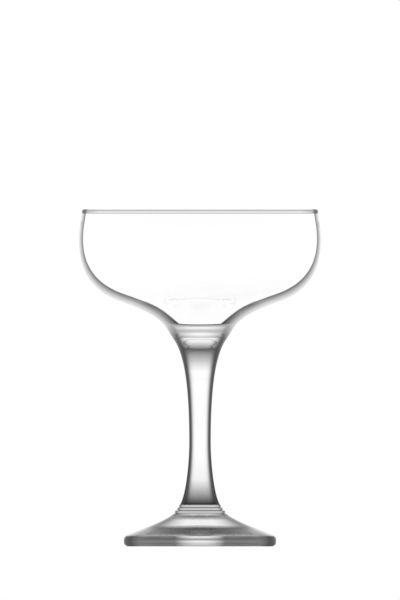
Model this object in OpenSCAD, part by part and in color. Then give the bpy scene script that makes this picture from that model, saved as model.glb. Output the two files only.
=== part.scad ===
// Coupe glass: a wide, shallow bowl on a drawn stem, three stepped rings and a spread foot.
// Every piece is a body of revolution about the upright axis Z. The pieces stand on each
// other with flat, hot-fused joints. The origin is the centre of the foot, on the table.

/* [Whole glass] */
// Height from the table to the top of the rim
glass_h = 136; // [126:1:150]

/* [Bowl] */
// Widest outside diameter
bowl_d = 97.6; // [92:0.1:104]
// Level of the widest place, down from the top of the rim
bowl_widest_drop = 12.3; // [9:0.1:16]
// Diameter of the mouth, from the middle of the rim bead to the middle of the bead
mouth_d = 93.5; // [88:0.1:95]
// Thickness of the melted rim bead
bead_t = 1.9; // [1.8:0.05:2.4]
// Wall at the widest place and just under the bead
wall_t = 1.6; // [1.2:0.05:1.7]
// Depth inside, from the top of the rim to the flat floor
bowl_depth = 46.4; // [42:0.1:50]
// Diameter of the flat floor, corner to corner
floor_d = 16.6; // [13:0.1:19]
// Radius of the corner between the floor and the side
floor_fillet = 2; // [1:0.1:3]
// Glass under the floor, down to the joint with the stem
base_t = 5.4; // [4:0.1:7]

/* [Stem] */
// Diameter of the joint between the bowl and the stem
stem_top_d = 22.2; // [19:0.1:26]
// Diameter at the waist
stem_waist_d = 8.7; // [7:0.1:11]
// Diameter of the joint between the stem and the upper ring
stem_foot_d = 16; // [13:0.1:16.2]

/* [Rings] */
// Height of each ring
ring_h = 1.2; // [1:0.05:1.6]
// Diameter of the upper ring
ring_upper_d = 16.9; // [16.5:0.1:17.6]
// Diameter of the middle ring
ring_middle_d = 18.3; // [17.8:0.1:19]
// Diameter of the lower ring
ring_lower_d = 20.3; // [19.4:0.1:20.8]
// How far the rounded edge of a ring stands out past its flat faces
ring_bulge = 0.4; // [0.2:0.05:0.6]

/* [Foot] */
// Diameter of the foot
foot_d = 61.6; // [54:0.1:70]
// Height of the foot, from the table to the joint with the lower ring
foot_h = 13.3; // [11:0.1:16]
// Diameter of the joint between the foot and the lower ring
foot_top_d = 20.8; // [20:0.1:24]
// Thickness of the foot where its slope meets the rounded edge
foot_edge_t = 4.7; // [4.4:0.1:6]
// Radius of the upper side of the rounded edge
edge_upper_r = 2.4; // [1.5:0.1:2.6]
// Radius of the lower side of the rounded edge
edge_lower_r = 1.9; // [0.8:0.1:2]
// Width of the flat ring that the glass stands on
rest_w = 4; // [2.5:0.1:6]
// Rise of the hollow under the foot
hollow_h = 1.8; // [1:0.1:3]

/* [Hidden] */
$fn = 160;

// Straight steps in a drawn curve, and in a small arc
curve_steps = 14;
arc_steps = 6;

// Stepped rings between the foot and the stem
ring_count = 3;

// Levels of the joints and of the bowl, from the table up
foot_top_z = foot_h;
stem_foot_z = foot_top_z + ring_count * ring_h;
floor_z = glass_h - bowl_depth;
stem_top_z = floor_z - base_t;
widest_z = glass_h - bowl_widest_drop;
bead_z = glass_h - bead_t / 2;

// The wall leaves the bead where the bead is as thick as the wall
bead_leave = acos(wall_t / bead_t);

// Turning point of the underside of the bowl: share of the way out from the stem joint to the
// widest place, and share of the way up
under_share = [0.56, 0.37];
// Slope of the underside there
under_slope = 19;
// Turning point of the inside: share of the way out from the floor, and share of the way up
inside_share = [0.56, 0.35];
// Slope of the inside there, and slope at which the side reaches the floor
inside_slope = 18.5;
floor_slope = 40;
// Slope of the outside where the bowl meets the stem, which the two pieces share
stem_top_slope = 55;
// Lean of the wall under the bead, inward from upright, outside and inside
lean_out = 9;
lean_in = 8;
// Height of the waist, as a share of the stem's length, and slope where the stem meets the ring
waist_share = 0.37;
stem_foot_slope = 63;
// Slopes of the foot at its top and at its rounded edge
foot_top_slope = 39;
foot_edge_slope = 21;
// Slope of the hollow where it leaves the rest ring
hollow_slope = 9;

// Pulls of each drawn curve: how long it follows the slopes at its two ends, as shares of the
// straight distance between them. Underside of the bowl, below and above its turning point
under_low_pull_share = [0.22, 0.75];
under_high_pull_share = [0.36, 0.46];
// Wall between the widest place and the bead, outside and inside
wall_out_pull_share = [0.35, 0.35];
wall_in_pull_share = [0.5, 0.5];
// Inside of the bowl, above and below its turning point
inside_high_pull_share = [0.58, 0.17];
inside_low_pull_share = [0.56, 0.43];
// Stem, below and above its waist
stem_low_pull_share = [0.25, 0.21];
stem_high_pull_share = [0.74, 0.11];
// Hollow under the foot, and its slope
hollow_pull_share = [0.4, 0.4];
foot_pull_share = [0.5, 0.2];

// Unit vector at an angle up from the outward direction
function dir(a) = [cos(a), sin(a)];

// Point a share t along the cubic curve through the pulls of a, b, c and d
function cubic(a, b, c, d, t) =
    pow(1 - t, 3) * a + 3 * t * pow(1 - t, 2) * b + 3 * t * t * (1 - t) * c + t * t * t * d;

// Curve from p, left at angle ap, to q, reached at angle aq. The pulls say how long the curve
// follows each angle, as shares of the straight distance.
function curve(p, ap, q, aq, pull_share) =
    let (
        reach = norm(q - p),
        b = p + pull_share[0] * reach * dir(ap),
        c = q - pull_share[1] * reach * dir(aq)
    )
    [for (i = [0 : curve_steps]) cubic(p, b, c, q, i / curve_steps)];

// Arc about c from angle a to angle b
function arc(c, r, a, b) =
    [for (i = [0 : arc_steps]) c + r * dir(a + (b - a) * i / arc_steps)];

// Bowl: outside from the stem joint up to the bead, over the rim and down the inside to the floor
module bowl() {
    widest_r = bowl_d / 2;
    joint = [stem_top_d / 2, stem_top_z];
    widest = [widest_r, widest_z];
    under = [
        joint[0] + (widest[0] - joint[0]) * under_share[0],
        joint[1] + (widest[1] - joint[1]) * under_share[1]
    ];
    bead = [mouth_d / 2, bead_z];
    bead_out = bead + bead_t / 2 * dir(-bead_leave);
    bead_in = bead + bead_t / 2 * dir(180 + bead_leave);
    widest_in = [widest_r - wall_t, widest_z];
    corner = [floor_d / 2, floor_z];
    inside = [
        corner[0] + (widest_in[0] - corner[0]) * inside_share[0],
        corner[1] + (widest_in[1] - corner[1]) * inside_share[1]
    ];
    fillet_reach = floor_fillet * tan(floor_slope / 2);
    fillet_top = corner + fillet_reach * dir(floor_slope);
    fillet_mid = [corner[0] - fillet_reach, floor_z + floor_fillet];
    color([0.90, 0.93, 0.94, 0.5])
        rotate_extrude()
            polygon(concat(
                [[0, stem_top_z]],
                curve(joint, stem_top_slope, under, under_slope, under_low_pull_share),
                curve(under, under_slope, widest, 90, under_high_pull_share),
                curve(widest, 90, bead_out, 90 + lean_out, wall_out_pull_share),
                arc(bead, bead_t / 2, -bead_leave, 180 + bead_leave),
                curve(bead_in, lean_in - 90, widest_in, -90, wall_in_pull_share),
                curve(widest_in, -90, inside, inside_slope - 180, inside_high_pull_share),
                curve(
                    inside, inside_slope - 180, fillet_top, floor_slope - 180,
                    inside_low_pull_share
                ),
                arc(fillet_mid, floor_fillet, floor_slope - 90, -90),
                [[0, floor_z]]
            ));
}

// Stem: drawn solid rod, flared at both ends
module stem() {
    foot_end = [stem_foot_d / 2, stem_foot_z];
    waist = [stem_waist_d / 2, stem_foot_z + (stem_top_z - stem_foot_z) * waist_share];
    top_end = [stem_top_d / 2, stem_top_z];
    color([0.80, 0.86, 0.88, 0.6])
        rotate_extrude()
            polygon(concat(
                [[0, stem_foot_z]],
                curve(foot_end, 180 - stem_foot_slope, waist, 90, stem_low_pull_share),
                curve(waist, 90, top_end, stem_top_slope, stem_high_pull_share),
                [[0, stem_top_z]]
            ));
}

// Ring with flat faces and a rounded edge, the given number of rings above the foot
module ring(d, place) {
    low = foot_top_z + place * ring_h;
    edge_r = d / 2 - ring_bulge;
    edge = [for (i = [0 : 2 * arc_steps])
        let (a = 90 * (i / arc_steps - 1))
        [edge_r + ring_bulge * cos(a), low + ring_h / 2 * (1 + sin(a))]];
    rotate_extrude()
        polygon(concat([[0, low]], edge, [[0, low + ring_h]]));
}

module ring_upper() {
    color([0.68, 0.80, 0.86, 0.7]) ring(ring_upper_d, 2);
}

module ring_middle() {
    color([0.74, 0.84, 0.88, 0.7]) ring(ring_middle_d, 1);
}

module ring_lower() {
    color([0.68, 0.80, 0.86, 0.7]) ring(ring_lower_d, 0);
}

// Foot: sloping disc with a rounded edge, standing on a flat ring round a shallow hollow
module foot() {
    foot_r = foot_d / 2;
    rest_out = foot_r - edge_lower_r;
    rest_in = rest_out - rest_w;
    nose = [foot_r - edge_upper_r, foot_edge_t - edge_upper_r * cos(foot_edge_slope)];
    nose_top = nose + edge_upper_r * dir(90 - foot_edge_slope);
    top_end = [foot_top_d / 2, foot_top_z];
    color([0.84, 0.89, 0.91, 0.6])
        rotate_extrude()
            polygon(concat(
                curve([0, hollow_h], 0, [rest_in, 0], -hollow_slope, hollow_pull_share),
                arc([rest_out, edge_lower_r], edge_lower_r, -90, 0),
                arc(nose, edge_upper_r, 0, 90 - foot_edge_slope),
                curve(
                    nose_top, 180 - foot_edge_slope, top_end, 180 - foot_top_slope,
                    foot_pull_share
                ),
                [[0, foot_top_z]]
            ));
}

bowl();
stem();
ring_upper();
ring_middle();
ring_lower();
foot();
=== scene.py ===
import math
import bpy
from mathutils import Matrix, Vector


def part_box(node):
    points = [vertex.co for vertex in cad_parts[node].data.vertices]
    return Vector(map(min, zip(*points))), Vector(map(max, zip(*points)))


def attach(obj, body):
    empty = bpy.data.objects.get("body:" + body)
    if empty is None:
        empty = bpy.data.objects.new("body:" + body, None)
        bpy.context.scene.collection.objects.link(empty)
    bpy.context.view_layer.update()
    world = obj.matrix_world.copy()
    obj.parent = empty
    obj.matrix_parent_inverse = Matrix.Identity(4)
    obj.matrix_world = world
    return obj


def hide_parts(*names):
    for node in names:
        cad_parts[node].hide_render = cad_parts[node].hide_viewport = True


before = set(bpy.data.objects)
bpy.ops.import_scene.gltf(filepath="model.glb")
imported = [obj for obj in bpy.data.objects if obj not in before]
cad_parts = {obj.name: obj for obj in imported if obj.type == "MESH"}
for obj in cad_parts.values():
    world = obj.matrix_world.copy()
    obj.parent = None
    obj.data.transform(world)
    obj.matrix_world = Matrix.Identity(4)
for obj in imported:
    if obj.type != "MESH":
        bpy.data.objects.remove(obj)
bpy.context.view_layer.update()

# Foot: pressed disc of clear glass that slopes up to the lowest ring. Its edge is fire-polished
# round, and it stands on a flat ring round a shallow hollow. It is fused hot to the ring above.
foot_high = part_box("foot")[1]
foot_radius = foot_high.x
foot_top = foot_high.z
foot_top_radius = 0.0104
foot_edge_height = 0.0047
upper_edge_radius = 0.0024
lower_edge_radius = 0.0019
rest_width = 0.004
hollow_height = 0.0018
hollow_slope = 9
foot_edge_slope = 21
foot_top_slope = 39
hollow_pull_shares = (0.4, 0.4)
foot_pull_shares = (0.5, 0.2)
ring_bulge = 0.0004
lower_ring_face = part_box("ring_lower")[1].x - ring_bulge


def along(angle):
    """Unit vector in the outline, at an angle in degrees up from the outward direction."""
    return Vector((math.cos(math.radians(angle)), math.sin(math.radians(angle))))


def drawn(start, start_angle, end, end_angle, pull_shares, steps=40):
    """Smooth curve of glass from start to end, leaving and arriving at the given angles."""
    reach = (end - start).length
    first_pull = start + pull_shares[0] * reach * along(start_angle)
    last_pull = end - pull_shares[1] * reach * along(end_angle)
    points = []
    for step in range(steps + 1):
        t = step / steps
        s = 1 - t
        points.append(s**3 * start + 3 * s * s * t * first_pull + 3 * s * t * t * last_pull + t**3 * end)
    return points


def rounded(centre, radius, first_angle, last_angle, steps=14):
    """Round edge about a centre."""
    turn = (last_angle - first_angle) / steps
    return [centre + radius * along(first_angle + turn * step) for step in range(steps + 1)]


finishes = ("Outer Glass", "Plain Glass", "Rim Glass", "Fused Joint")


def calculator(tree):
    """Function that adds a sum of two sockets or numbers to a node tree and gives its result."""
    def value(operation, first, second=0, clamp=False):
        node = tree.nodes.new("ShaderNodeMath")
        node.operation = operation
        node.use_clamp = clamp
        for socket, source in zip(node.inputs, (first, second)):
            if isinstance(source, bpy.types.NodeSocket):
                tree.links.new(source, socket)
            else:
                socket.default_value = source
        return node.outputs["Value"]
    return value


meeting_distance = 1e-6


def turning_tree():
    """Node tree that turns an outline about the upright axis into a closed glass body."""
    tree = bpy.data.node_groups.new("turned_glass", "GeometryNodeTree")
    tree.interface.new_socket("Outline", in_out="INPUT", socket_type="NodeSocketGeometry")
    tree.interface.new_socket("Steps Round", in_out="INPUT", socket_type="NodeSocketInt")
    for finish in finishes:
        tree.interface.new_socket(finish, in_out="INPUT", socket_type="NodeSocketMaterial")
    tree.interface.new_socket("Body", in_out="OUTPUT", socket_type="NodeSocketGeometry")
    nodes, links = tree.nodes, tree.links
    given = nodes.new("NodeGroupInput")
    result = nodes.new("NodeGroupOutput")
    value = calculator(tree)

    def named_finish():
        node = nodes.new("GeometryNodeInputNamedAttribute")
        node.data_type = "INT"
        node.inputs["Name"].default_value = "finish"
        return node.outputs["Attribute"]

    def from_outline(kind, source, row):
        node = nodes.new("GeometryNodeSampleIndex")
        node.data_type = kind
        links.new(given.outputs["Outline"], node.inputs["Geometry"])
        links.new(source, node.inputs["Value"])
        links.new(row, node.inputs["Index"])
        return node.outputs["Value"]

    # A flat grid has a column for each step round and a row for each point of the outline
    size = nodes.new("GeometryNodeAttributeDomainSize")
    links.new(given.outputs["Outline"], size.inputs["Geometry"])
    rows = size.outputs["Point Count"]
    grid = nodes.new("GeometryNodeMeshGrid")
    links.new(value("ADD", given.outputs["Steps Round"], 1), grid.inputs["Vertices X"])
    links.new(rows, grid.inputs["Vertices Y"])
    index = nodes.new("GeometryNodeInputIndex").outputs["Index"]

    # Each face takes the finish of the outline point that it starts from
    bands = value("SUBTRACT", rows, 1)
    bands_before = value("MULTIPLY", value("FLOOR", value("DIVIDE", index, bands)), bands)
    band = value("SUBTRACT", index, bands_before)
    finished = nodes.new("GeometryNodeStoreNamedAttribute")
    finished.data_type = "INT"
    finished.domain = "FACE"
    finished.inputs["Name"].default_value = "finish"
    links.new(grid.outputs["Mesh"], finished.inputs["Geometry"])
    links.new(from_outline("INT", named_finish(), band), finished.inputs["Value"])

    # Each row takes its distance from the axis and its height from the outline
    column = value("FLOOR", value("DIVIDE", index, rows))
    row = value("SUBTRACT", index, value("MULTIPLY", column, rows))
    turn = value("MULTIPLY", value("DIVIDE", column, given.outputs["Steps Round"]), math.tau)
    place = nodes.new("GeometryNodeInputPosition").outputs["Position"]
    parts = nodes.new("ShaderNodeSeparateXYZ")
    links.new(from_outline("FLOAT_VECTOR", place, row), parts.inputs["Vector"])
    wrapped = nodes.new("ShaderNodeCombineXYZ")
    links.new(value("MULTIPLY", parts.outputs["X"], value("COSINE", turn)), wrapped.inputs["X"])
    links.new(value("MULTIPLY", parts.outputs["X"], value("SINE", turn)), wrapped.inputs["Y"])
    links.new(parts.outputs["Z"], wrapped.inputs["Z"])
    wrap = nodes.new("GeometryNodeSetPosition")
    links.new(finished.outputs["Geometry"], wrap.inputs["Geometry"])
    links.new(wrapped.outputs["Vector"], wrap.inputs["Position"])

    # The seam and the poles close where points meet
    closed = nodes.new("GeometryNodeMergeByDistance")
    closed.inputs["Distance"].default_value = meeting_distance
    links.new(wrap.outputs["Geometry"], closed.inputs["Geometry"])
    smooth = nodes.new("GeometryNodeSetShadeSmooth")
    links.new(closed.outputs["Geometry"], smooth.inputs["Geometry"])
    real = nodes.new("GeometryNodeRealizeInstances")
    links.new(smooth.outputs["Geometry"], real.inputs["Geometry"])
    body = real.outputs["Geometry"]
    for number, finish in enumerate(finishes):
        dressed = nodes.new("GeometryNodeSetMaterial")
        links.new(body, dressed.inputs["Geometry"])
        links.new(value("COMPARE", named_finish(), number), dressed.inputs["Selection"])
        links.new(given.outputs[finish], dressed.inputs["Material"])
        body = dressed.outputs["Geometry"]
    links.new(body, result.inputs["Body"])
    return tree


turned_glass = turning_tree()


def fused_joint():
    """The two faces of a hot joint melt into one another, so nothing of them shows."""
    material = bpy.data.materials.new("fused_joint")
    material.use_nodes = True
    nodes = material.node_tree.nodes
    nodes.clear()
    clear = nodes.new("ShaderNodeBsdfTransparent")
    output = nodes.new("ShaderNodeOutputMaterial")
    material.node_tree.links.new(clear.outputs["BSDF"], output.inputs["Surface"])
    return material


joint_finish = fused_joint()


glass_index = 1.52
shadow_colour = (0.82, 0.82, 0.82, 1)


def plain_glass(name):
    """Clear polished glass. Lamps shine through it and leave only a pale shadow."""
    material = bpy.data.materials.new(name)
    material.use_nodes = True
    nodes, links = material.node_tree.nodes, material.node_tree.links
    nodes.clear()
    glass = nodes.new("ShaderNodeBsdfPrincipled")
    glass.name = "Glass"
    glass.inputs["Base Color"].default_value = (1, 1, 1, 1)
    glass.inputs["Transmission Weight"].default_value = 1
    glass.inputs["Roughness"].default_value = 0
    glass.inputs["IOR"].default_value = glass_index
    through = nodes.new("ShaderNodeBsdfTransparent")
    through.inputs["Color"].default_value = shadow_colour
    path = nodes.new("ShaderNodeLightPath")
    surface = nodes.new("ShaderNodeMixShader")
    links.new(path.outputs["Is Shadow Ray"], surface.inputs["Fac"])
    links.new(glass.outputs["BSDF"], surface.inputs[1])
    links.new(through.outputs["BSDF"], surface.inputs[2])
    output = nodes.new("ShaderNodeOutputMaterial")
    links.new(surface.outputs["Shader"], output.inputs["Surface"])
    return material


inner_finish = plain_glass("inner_glass")


none_anywhere = ((0.0, 0.0),)
all_everywhere = ((0.0, 1.0),)
# The sum of turn and squareness, a little over 1 so that no glass has a turn of exactly 0
turn_sum = 1.05
# Mirror images of the near parts of the glass keep their painted shade, and farther ones lose it
mirror_near = 0.016
mirror_fade = 0.02
wall_softness = 0.03
# Colour of the painted dark reflection that is mixed over the glass
painted_reflection_shade_colour = (0.02, 0.02, 0.02, 1)


def painted_shade_glass(
    name, low, high, middle_shares, level_shares, side_shares=none_anywhere,
    side_level_shares=all_everywhere, wall_shares=none_anywhere, reflection_kept_shares=all_everywhere,
    reflection_shade_level_shares=all_everywhere, rise=0.4,
):
    """Clear glass with painted shade: its colour darkens where it turns away from the eye,
    painted to stand in for the dark edges that glass shows before a pale backdrop.

    A turn is 0 where the glass is as square to the eye as its lean lets it be, and 1 at its
    outline. A level is the share of the way from low to high. middle_shares says how much light
    the painted shade lets through at a turn, and level_shares how much of that is left at a level.
    side_shares and side_level_shares say the same of the painted light that the outline gets
    besides. wall_shares gives the turn past which the painted shade stands for light crossing the
    wall lengthways, by level, and before it the glass is clear. reflection_kept_shares dims
    mirrored light by turn with a painted dark reflection, as far as reflection_shade_level_shares
    lets it at a level. rise leans the painted shade's surface up.
    """
    material = plain_glass(name)
    nodes, links = material.node_tree.nodes, material.node_tree.links
    value = calculator(material.node_tree)

    def chart(stops, source):
        node = nodes.new("ShaderNodeValToRGB")
        marks = node.color_ramp.elements
        marks.remove(marks[1])
        for number, (at, share) in enumerate(stops):
            mark = marks.new(at) if number else marks[0]
            mark.position = at
            mark.color = (share, share, share, 1)
        links.new(source, node.inputs["Fac"])
        return node.outputs["Color"]

    place = nodes.new("ShaderNodeTexCoord")
    parts = nodes.new("ShaderNodeSeparateXYZ")
    links.new(place.outputs["Object"], parts.inputs["Vector"])
    level = value("DIVIDE", value("SUBTRACT", parts.outputs["Z"], low), high - low, clamp=True)

    # The painted shade leans its surface up a little, so the glass stays clear when looked down on.
    # The lean is then taken out of the turn, with just enough left that nothing is divided by 0.
    side = nodes.new("ShaderNodeNewGeometry")
    leaning = nodes.new("ShaderNodeVectorMath")
    links.new(side.outputs["Normal"], leaning.inputs[0])
    leaning.inputs[1].default_value = (0, 0, rise)
    upright = nodes.new("ShaderNodeVectorMath")
    upright.operation = "NORMALIZE"
    links.new(leaning.outputs["Vector"], upright.inputs[0])
    facing = nodes.new("ShaderNodeLayerWeight")
    facing.inputs["Blend"].default_value = 0.5
    links.new(upright.outputs["Vector"], facing.inputs["Normal"])
    lean = nodes.new("ShaderNodeSeparateXYZ")
    links.new(upright.outputs["Vector"], lean.inputs["Vector"])
    upward = value("MULTIPLY", lean.outputs["Z"], lean.outputs["Z"])
    level_part = value("SQRT", value("SUBTRACT", 1.0001, upward))
    square = value("DIVIDE", value("SUBTRACT", 1, facing.outputs["Facing"]), level_part)
    turned = value("SUBTRACT", turn_sum, square)
    wall = chart(wall_shares, level)
    turn = value("DIVIDE", value("SUBTRACT", turned, wall), value("SUBTRACT", turn_sum, wall))

    middle = value("MULTIPLY", chart(middle_shares, turn), chart(level_shares, level))
    beside = value("MULTIPLY", chart(side_shares, turn), chart(side_level_shares, level))
    tone = value("ADD", middle, beside, clamp=True)
    # The shader takes the root of its colour where light goes in, so the tone is squared
    squared = value("MULTIPLY", tone, tone)
    softened = value("ADD", turn, wall_softness)
    shaded = value("MULTIPLY", softened, 1 / wall_softness, clamp=True)

    # Only the outside of the first glass that a look meets gets the painted shade
    outside = value("SUBTRACT", 1, side.outputs["Backfacing"])
    path = nodes.new("ShaderNodeLightPath")
    past_near = value("SUBTRACT", path.outputs["Ray Length"], mirror_near)
    farness = value("MULTIPLY", past_near, 1 / mirror_fade, clamp=True)
    direct = value("SUBTRACT", 1, value("MULTIPLY", path.outputs["Is Glossy Ray"], farness))
    first_glass = value("SUBTRACT", direct, path.outputs["Transmission Depth"], clamp=True)
    seen_first = value("MULTIPLY", outside, first_glass)
    # The painted shade goes into the glass colour: white where it is off, the squared tone where it is
    # on
    painted_shade_mix = nodes.new("ShaderNodeMix")
    painted_shade_mix.data_type = "RGBA"
    painted_shade_mix.inputs["A"].default_value = (1, 1, 1, 1)
    links.new(value("MULTIPLY", shaded, seen_first), painted_shade_mix.inputs["Factor"])
    links.new(squared, painted_shade_mix.inputs["B"])
    links.new(painted_shade_mix.outputs["Result"], nodes["Glass"].inputs["Base Color"])

    # Painted reflection shade: a dark diffuse surface is mixed over the glass by turn and level, in
    # place of dark surroundings in its mirror images
    reflection_shade = value("SUBTRACT", 1, chart(reflection_kept_shares, turn))
    level_reflection_shade = value("MULTIPLY", reflection_shade, chart(reflection_shade_level_shares, level))
    dark = nodes.new("ShaderNodeBsdfDiffuse")
    dark.inputs["Color"].default_value = painted_reflection_shade_colour
    dimmed = nodes.new("ShaderNodeMixShader")
    links.new(value("MULTIPLY", level_reflection_shade, seen_first), dimmed.inputs["Fac"])
    links.new(nodes["Glass"].outputs["BSDF"], dimmed.inputs[1])
    links.new(dark.outputs["BSDF"], dimmed.inputs[2])
    links.new(dimmed.outputs["Shader"], nodes["Mix Shader"].inputs[1])
    return material


sharp_angle = math.radians(30)
same_point = 1e-7


def turn_piece(name, strokes, glass, rim=None, steps_round=256):
    """Turn an outline, drawn in strokes of one finish each, into the piece for a CAD node."""
    points, marks = [], []
    for finish, stroke in strokes:
        for point in stroke:
            if points and (point - points[-1]).length < same_point:
                marks[-1] = finishes.index(finish)
            else:
                points.append(point)
                marks.append(finishes.index(finish))
    drawn_line = bpy.data.meshes.new(name + "_outline")
    edges = [(at, at + 1) for at in range(len(points) - 1)]
    drawn_line.from_pydata([(point.x, 0, point.y) for point in points], edges, [])
    drawn_line.attributes.new("finish", "INT", "POINT").data.foreach_set("value", marks)
    blank = bpy.data.objects.new(name + "_outline", drawn_line)
    bpy.context.scene.collection.objects.link(blank)
    modifier = blank.modifiers.new("turned", "NODES")
    modifier.node_group = turned_glass
    wanted = {
        "Steps Round": steps_round,
        "Outer Glass": glass,
        "Plain Glass": inner_finish,
        "Rim Glass": rim or glass,
        "Fused Joint": joint_finish,
    }
    for socket in turned_glass.interface.items_tree:
        if socket.in_out == "INPUT" and socket.name in wanted:
            modifier[socket.identifier] = wanted[socket.name]
    made = blank.evaluated_get(bpy.context.evaluated_depsgraph_get())
    mesh = bpy.data.meshes.new_from_object(made)
    mesh.name = name + "_glass"
    mesh.set_sharp_from_angle(angle=sharp_angle)
    piece = bpy.data.objects.new(name + "_glass", mesh)
    bpy.context.scene.collection.objects.link(piece)
    bpy.data.objects.remove(blank)
    bpy.data.meshes.remove(drawn_line)
    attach(piece, "root")
    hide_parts(name)
    return piece


rest_outer = foot_radius - lower_edge_radius
nose = Vector((foot_radius - upper_edge_radius, 0))
nose.y = foot_edge_height - upper_edge_radius * along(foot_edge_slope).x
nose_top = nose + upper_edge_radius * along(90 - foot_edge_slope)
hollow_middle = Vector((0, hollow_height))
rest_inner = Vector((rest_outer - rest_width, 0))
hollow = drawn(hollow_middle, 0, rest_inner, -hollow_slope, hollow_pull_shares)
foot_edge = rounded(Vector((rest_outer, lower_edge_radius)), lower_edge_radius, -90, 0)
foot_edge += rounded(nose, upper_edge_radius, 0, 90 - foot_edge_slope)
top_corner = Vector((foot_top_radius, foot_top))
foot_slope = drawn(nose_top, 180 - foot_edge_slope, top_corner, 180 - foot_top_slope, foot_pull_shares)
shoulder_height = 0.004
shaded_edge_height = 0.005
foot_strokes = [
    ("Plain Glass", hollow),
    ("Rim Glass", [point for point in foot_edge if point.y < shoulder_height]),
    ("Outer Glass", [point for point in foot_edge if point.y >= shoulder_height] + foot_slope),
    ("Fused Joint", [Vector((lower_ring_face, foot_top)), Vector((0, foot_top))]),
]
# The slope is painted with shade: a light band in its upper half, with a painted dark band under it and
# another above it
foot_glass = painted_shade_glass(
    "foot_glass", 0, foot_top,
    middle_shares=((0.1, 1.0), (0.3, 0.6), (0.5, 0.1), (0.6, 0.0)),
    level_shares=(
        (0.3, 0.5), (0.4, 0.1), (0.55, 0.1), (0.65, 1.0), (0.8, 1.0), (0.9, 0.2), (1.0, 0.7),
    ),
    side_shares=((0.1, 0.0), (0.4, 0.3), (0.7, 0.4)),
    side_level_shares=((0.3, 1.0), (0.5, 0.8), (0.6, 0.0), (0.8, 0.3), (0.9, 1.0), (1.0, 0.2)),
    reflection_kept_shares=((0.5, 1.0), (0.7, 0.7), (1.0, 0.6)),
    reflection_shade_level_shares=((0.6, 0.0), (0.9, 1.0)),
)
# The rounded edge is painted with bands of shade by level and a painted dark reflection towards its
# outline
edge_glass = painted_shade_glass(
    "foot_edge_glass", 0, shaded_edge_height,
    middle_shares=((0.05, 1.0), (0.1, 0.1)),
    level_shares=((0.0, 0.4), (0.4, 0.8), (0.55, 0.2), (0.8, 1.0), (0.95, 0.2)),
    side_shares=((0.0, 0.1), (0.5, 0.1)),
    reflection_kept_shares=((0.4, 1.0), (0.6, 0.3), (0.8, 0.3), (0.9, 0.7)), rise=0.15,
)
turn_piece("foot", foot_strokes, foot_glass, edge_glass)

# Rings: three stepped discs between the stem and the foot, pressed with rounded edges and fused
# face to face. Each is a little wider than the one above it.
stem_low, stem_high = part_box("stem")
stem_foot_radius = 0.008
ring_names = ("ring_lower", "ring_middle", "ring_upper")
ring_steps_round = 192
# Each ring is painted light in its middle and painted dark with shade at its two joints
ring_halves = 2 * len(ring_names)
ring_level_shares = [(half / ring_halves, 0.8 if half % 2 else 0.1) for half in range(ring_halves + 1)]
ring_glass = painted_shade_glass(
    "ring_glass", foot_top, stem_low.z,
    middle_shares=((0.3, 1.0), (0.7, 0.6)), level_shares=ring_level_shares,
    reflection_kept_shares=((0.5, 1.0), (0.6, 0.5)),
)
ring_faces = [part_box(name)[1].x - ring_bulge for name in ring_names]
for order, name in enumerate(ring_names):
    low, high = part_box(name)
    face = ring_faces[order]
    above = ring_faces[order + 1] if order + 1 < len(ring_names) else stem_foot_radius
    half_height = (high.z - low.z) / 2
    middle = (high.z + low.z) / 2
    edge = [
        Vector((face + ring_bulge * along(turn).x, middle + half_height * along(turn).y))
        for turn in range(-90, 91, 6)
    ]
    ring_strokes = [
        ("Fused Joint", [Vector((0, low.z)), edge[0]]),
        ("Outer Glass", edge),
        ("Fused Joint", [Vector((above, high.z)), Vector((0, high.z))]),
    ]
    turn_piece(name, ring_strokes, ring_glass, steps_round=ring_steps_round)

# Stem: solid rod of clear glass, drawn to a waist and flared at both ends, where it is fused to
# the bowl above and to the upper ring below.
stem_top_radius = 0.0111
stem_waist_radius = 0.00435
stem_foot_slope = 63
stem_top_slope = 55
waist_share = 0.37
stem_low_pull_shares = (0.25, 0.21)
stem_high_pull_shares = (0.74, 0.11)
stem_foot = Vector((stem_foot_radius, stem_low.z))
stem_waist = Vector((stem_waist_radius, stem_low.z + (stem_high.z - stem_low.z) * waist_share))
stem_top = Vector((stem_top_radius, stem_high.z))
stem_side = drawn(stem_foot, 180 - stem_foot_slope, stem_waist, 90, stem_low_pull_shares)
stem_side += drawn(stem_waist, 90, stem_top, stem_top_slope, stem_high_pull_shares)
stem_strokes = [
    ("Fused Joint", [Vector((0, stem_low.z)), stem_foot]),
    ("Outer Glass", stem_side),
    ("Fused Joint", [stem_top, Vector((0, stem_high.z))]),
]
# A solid rod shows the backdrop in its middle only, so its sides are painted with shade. Both
# flares bend the light away and are painted dark for it, and the joint under the bowl is painted light
# again.
stem_glass = painted_shade_glass(
    "stem_glass", stem_low.z, stem_high.z,
    middle_shares=((0.1, 1.0), (0.2, 0.9), (0.3, 0.5), (0.4, 0.1), (0.5, 0.0)),
    level_shares=((0.0, 0.0), (0.15, 0.9), (0.3, 1.0), (0.8, 1.0), (0.93, 0.1), (0.98, 0.9)),
    reflection_kept_shares=((0.5, 1.0), (0.6, 0.3)),
    reflection_shade_level_shares=((0.1, 1.0), (0.5, 0.5), (0.9, 0.5), (1.0, 0.0)),
)
stem_steps_round = 192
turn_piece("stem", stem_strokes, stem_glass, steps_round=stem_steps_round)

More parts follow.
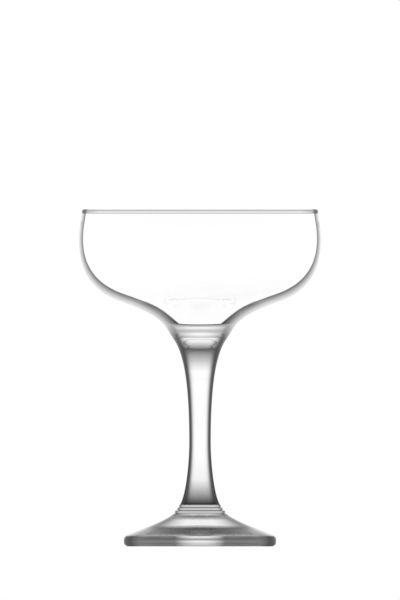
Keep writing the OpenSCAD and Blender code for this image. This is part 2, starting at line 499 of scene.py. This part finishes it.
# Bowl: thin pressed bowl of clear glass, fire-polished, with a rim bead where the edge was melted
# round. Its wall thickens into the base over the stem.
bowl_low, bowl_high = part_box("bowl")
bowl_radius = bowl_high.x
widest_drop = 0.0123
mouth_radius = 0.04675
bead_thickness = 0.0019
wall_thickness = 0.0016
bowl_depth = 0.0464
floor_radius = 0.0083
floor_fillet = 0.002
under_shares = (0.56, 0.37)
under_slope = 19
inside_shares = (0.56, 0.35)
inside_slope = 18.5
floor_slope = 40
lean_out = 9
lean_in = 8
under_low_pull_shares = (0.22, 0.75)
under_high_pull_shares = (0.36, 0.46)
wall_out_pull_shares = (0.35, 0.35)
wall_in_pull_shares = (0.5, 0.5)
inside_high_pull_shares = (0.58, 0.17)
inside_low_pull_shares = (0.56, 0.43)
bead_leave = math.degrees(math.acos(wall_thickness / bead_thickness))
widest = Vector((bowl_radius, bowl_high.z - widest_drop))
under = stem_top + (widest - stem_top) * Vector(under_shares)
bead = Vector((mouth_radius, bowl_high.z - bead_thickness / 2))
bead_out = bead + bead_thickness / 2 * along(-bead_leave)
bead_in = bead + bead_thickness / 2 * along(180 + bead_leave)
widest_in = widest - Vector((wall_thickness, 0))
corner = Vector((floor_radius, bowl_high.z - bowl_depth))
inside = corner + (widest_in - corner) * Vector(inside_shares)
fillet_reach = floor_fillet * math.tan(math.radians(floor_slope / 2))
fillet_top = corner + fillet_reach * along(floor_slope)
fillet_middle = corner + Vector((-fillet_reach, floor_fillet))
bowl_outside = drawn(stem_top, stem_top_slope, under, under_slope, under_low_pull_shares)
bowl_outside += drawn(under, under_slope, widest, 90, under_high_pull_shares)
bowl_outside += drawn(widest, 90, bead_out, 90 + lean_out, wall_out_pull_shares)
rim_band_height = 0.002
rim_line = bowl_high.z - rim_band_height
under_rim = [point for point in bowl_outside if point.y > rim_line]
bowl_outside = bowl_outside[:-len(under_rim)]
bowl_inside = drawn(bead_in, lean_in - 90, widest_in, -90, wall_in_pull_shares)
bowl_inside += drawn(widest_in, -90, inside, inside_slope - 180, inside_high_pull_shares)
bowl_inside += drawn(inside, inside_slope - 180, fillet_top, floor_slope - 180, inside_low_pull_shares)
bowl_inside += rounded(fillet_middle, floor_fillet, floor_slope - 90, -90)
bowl_inside += [Vector((0, corner.y))]
bowl_strokes = [
    ("Fused Joint", [Vector((0, bowl_low.z)), stem_top]),
    ("Outer Glass", bowl_outside),
    ("Rim Glass", under_rim + rounded(bead, bead_thickness / 2, -bead_leave, 180 + bead_leave, 20)),
    ("Plain Glass", bowl_inside),
]


def radius_at(side, height):
    """Radius of one side of the bowl at a height, straight between its nearest points."""
    for first, second in zip(side, side[1:]):
        if first.y != second.y and min(first.y, second.y) <= height <= max(first.y, second.y):
            return first.x + (second.x - first.x) * (height - first.y) / (second.y - first.y)
    return 0


# Painted shade on the wall: light that misses the hollow inside of the bowl stays in the wall, so
# the turn where the painted wall shade starts follows from the two radii. Under the floor there is no
# hollow.
wall_steps = 20
wall_top = bowl_outside[-1].y
base_share = (corner.y - bowl_low.z) / (bowl_high.z - bowl_low.z)
bowl_wall_shares = [(base_share, 0)]
for step in range(1, wall_steps):
    height = corner.y + (wall_top - corner.y) * (step / wall_steps)**2
    hollow_share = radius_at(bowl_inside, height) / radius_at(bowl_outside, height)
    wall_share = turn_sum - math.sqrt(1 - hollow_share**2)
    bowl_wall_shares.append(((height - bowl_low.z) / (bowl_high.z - bowl_low.z), wall_share))
# The solid base has two painted light bands, evenly spaced, and a painted dark line of shade under
# the floor. The thin wall is painted dark where it meets the hollow, and its painted shade greys towards
# its outline.
base_tones = (0.5, 1.0, 0.5, 1.0, 0.0)
base_level_shares = [
    (base_share * step / (len(base_tones) - 1), share) for step, share in enumerate(base_tones)
]
bowl_glass = painted_shade_glass(
    "bowl_glass", bowl_low.z, bowl_high.z,
    middle_shares=((0.05, 1.0), (0.3, 0.4), (0.4, 0.0)), level_shares=base_level_shares,
    side_shares=((0.05, 0.0), (0.4, 0.4), (0.8, 0.6)),
    side_level_shares=((0.0, 0.2), (base_share, 1.0)), wall_shares=bowl_wall_shares,
    reflection_kept_shares=((0.0, 1.0), (0.02, 0.6), (0.1, 0.6), (0.3, 1.0)),
    reflection_shade_level_shares=((0.2, 0.0), (0.25, 1.0), (0.3, 0.0)), rise=0.15,
)
rim_low = bowl_high.z - bead_thickness
# The rim bead is painted with light and dark bands of shade by level and a painted dark reflection near
# its outline
rim_glass = painted_shade_glass(
    "rim_glass", rim_low, bowl_high.z,
    middle_shares=((0.5, 1.0), (0.7, 0.6), (0.8, 0.0)),
    level_shares=((0.1, 0.3), (0.4, 1.0), (0.7, 0.4), (1.0, 1.0)),
    reflection_kept_shares=((0.7, 1.0), (0.8, 0.3), (0.9, 0.5), (1.0, 1.0)), rise=0.15,
)
turn_piece("bowl", bowl_strokes, bowl_glass, rim_glass)

# Table: plain pale painted floor that keeps the soft shadow of the glass. It turns to plain white
# farther out, and partly where it is seen through the glass.
floor_half = 3.0
floor_drop = 0.0001
floor_colour = (0.96, 0.96, 0.96, 1)
floor_roughness = 0.9
white_starts = 0.1
white_complete = 0.25
white_through_glass = 0.6
floor_mesh = bpy.data.meshes.new("floor")
floor_corners = [
    (along_x * floor_half, along_y * floor_half, -floor_drop)
    for along_x, along_y in ((-1, -1), (1, -1), (1, 1), (-1, 1))
]
floor_mesh.from_pydata(floor_corners, [], [(0, 1, 2, 3)])
floor = bpy.data.objects.new("floor", floor_mesh)
bpy.context.scene.collection.objects.link(floor)
floor_paint = bpy.data.materials.new("floor_paint")
floor_paint.use_nodes = True
nodes, links = floor_paint.node_tree.nodes, floor_paint.node_tree.links
floor_value = calculator(floor_paint.node_tree)
paint = nodes["Principled BSDF"]
paint.inputs["Base Color"].default_value = floor_colour
paint.inputs["Roughness"].default_value = floor_roughness
floor_place = nodes.new("ShaderNodeTexCoord")
way_out = nodes.new("ShaderNodeVectorMath")
way_out.operation = "LENGTH"
links.new(floor_place.outputs["Object"], way_out.inputs[0])
far = nodes.new("ShaderNodeMapRange")
far.interpolation_type = "SMOOTHSTEP"
far.inputs["From Min"].default_value = white_starts
far.inputs["From Max"].default_value = white_complete
links.new(way_out.outputs["Value"], far.inputs["Value"])
floor_path = nodes.new("ShaderNodeLightPath")
through_glass = floor_value("MULTIPLY", floor_path.outputs["Is Transmission Ray"], white_through_glass)
whiteness = floor_value("ADD", through_glass, far.outputs["Result"])
shown_white = floor_value("SUBTRACT", whiteness, floor_path.outputs["Diffuse Depth"], clamp=True)
white = nodes.new("ShaderNodeEmission")
shown = nodes.new("ShaderNodeMixShader")
links.new(shown_white, shown.inputs["Fac"])
links.new(paint.outputs["BSDF"], shown.inputs[1])
links.new(white.outputs["Emission"], shown.inputs[2])
links.new(shown.outputs["Shader"], nodes["Material Output"].inputs["Surface"])
floor_mesh.materials.append(floor_paint)

# Light: white surroundings and one large soft lamp above. The surroundings are dimmer overhead in
# mirror images, and light that leaves the first glass steeply meets a greyer band. What they cast
# on the floor is held at a plain level.
mirror_dims_from = 0.2
mirror_dims_to = 0.5
overhead_strength = 0.3
cast_strength = 0.72
band_tones = ((0.5, 1.0), (0.6, 0.4), (0.8, 0.4), (0.9, 1.0))
surfaces_of_one_wall = 2
lamp_power = 7
lamp_width = 1.0
lamp_place = (-0.5, -0.4, 1.1)
lamp_aim = Vector((0, 0, 0.07))
world = bpy.data.worlds.new("studio")
bpy.context.scene.world = world
world.use_nodes = True
nodes, links = world.node_tree.nodes, world.node_tree.links
world_value = calculator(world.node_tree)
sky = nodes["Background"]
sky.inputs["Color"].default_value = (1, 1, 1, 1)
way = nodes.new("ShaderNodeTexCoord")
way_parts = nodes.new("ShaderNodeSeparateXYZ")
links.new(way.outputs["Generated"], way_parts.inputs["Vector"])
overhead = nodes.new("ShaderNodeMapRange")
overhead.inputs["From Min"].default_value = mirror_dims_from
overhead.inputs["From Max"].default_value = mirror_dims_to
overhead.inputs["To Min"].default_value = 1.0
overhead.inputs["To Max"].default_value = overhead_strength
links.new(way_parts.outputs["Z"], overhead.inputs["Value"])
band = nodes.new("ShaderNodeValToRGB")
marks = band.color_ramp.elements
marks.remove(marks[1])
for number, (height_share, tone) in enumerate(band_tones):
    mark = marks.new(height_share) if number else marks[0]
    mark.position = height_share
    mark.color = (tone, tone, tone, 1)
links.new(way_parts.outputs["Z"], band.inputs["Fac"])
world_path = nodes.new("ShaderNodeLightPath")
depth = world_path.outputs["Transmission Depth"]
mirrored = world_value("SUBTRACT", world_path.outputs["Is Glossy Ray"], depth, clamp=True)
later = world_value("SUBTRACT", depth, surfaces_of_one_wall, clamp=True)
bent = world_value("SUBTRACT", world_path.outputs["Is Transmission Ray"], later, clamp=True)
cast = world_value("MINIMUM", world_path.outputs["Diffuse Depth"], 1)


def between(share, first, second):
    """Strength that lies a share of the way from the first to the second."""
    mix = nodes.new("ShaderNodeMix")
    for socket, source in zip(("Factor", "A", "B"), (share, first, second)):
        if isinstance(source, bpy.types.NodeSocket):
            links.new(source, mix.inputs[socket])
        else:
            mix.inputs[socket].default_value = source
    return mix.outputs["Result"]


band_strength = between(bent, 1.0, band.outputs["Color"])
shown_strength = between(mirrored, band_strength, overhead.outputs["Result"])
links.new(between(cast, shown_strength, cast_strength), sky.inputs["Strength"])
lamp_data = bpy.data.lights.new("softbox", "AREA")
lamp_data.energy = lamp_power
lamp_data.size = lamp_width
lamp = bpy.data.objects.new("softbox", lamp_data)
lamp.location = lamp_place
lamp.rotation_euler = (lamp_aim - lamp.location).to_track_quat("-Z", "Y").to_euler()
bpy.context.scene.collection.objects.link(lamp)
lamp.visible_glossy = False
lamp.visible_transmission = False

# Light goes many times to and fro inside solid glass before it leaves, and isn't cut short
most_turns = 200
cycles = bpy.context.scene.cycles
cycles.max_bounces = most_turns
cycles.glossy_bounces = most_turns
cycles.transmission_bounces = most_turns
cycles.transparent_max_bounces = most_turns
cycles.min_light_bounces = most_turns
cycles.min_transparent_bounces = most_turns

# Camera: level with the glass and square to it, as the photograph is, with no perspective.
framed_height = 0.242
camera_distance = 0.368
camera_height = 0.0994
camera_data = bpy.data.cameras.new("camera")
camera_data.type = "ORTHO"
camera_data.ortho_scale = framed_height
camera_data.clip_start = 0.001
camera_data.clip_end = 10
camera = bpy.data.objects.new("camera", camera_data)
camera.location = (0, -camera_distance, camera_height)
camera.rotation_euler = (math.radians(90), 0, 0)
bpy.context.scene.collection.objects.link(camera)
bpy.context.scene.camera = camera
bpy.context.scene.view_settings.view_transform = "Standard"
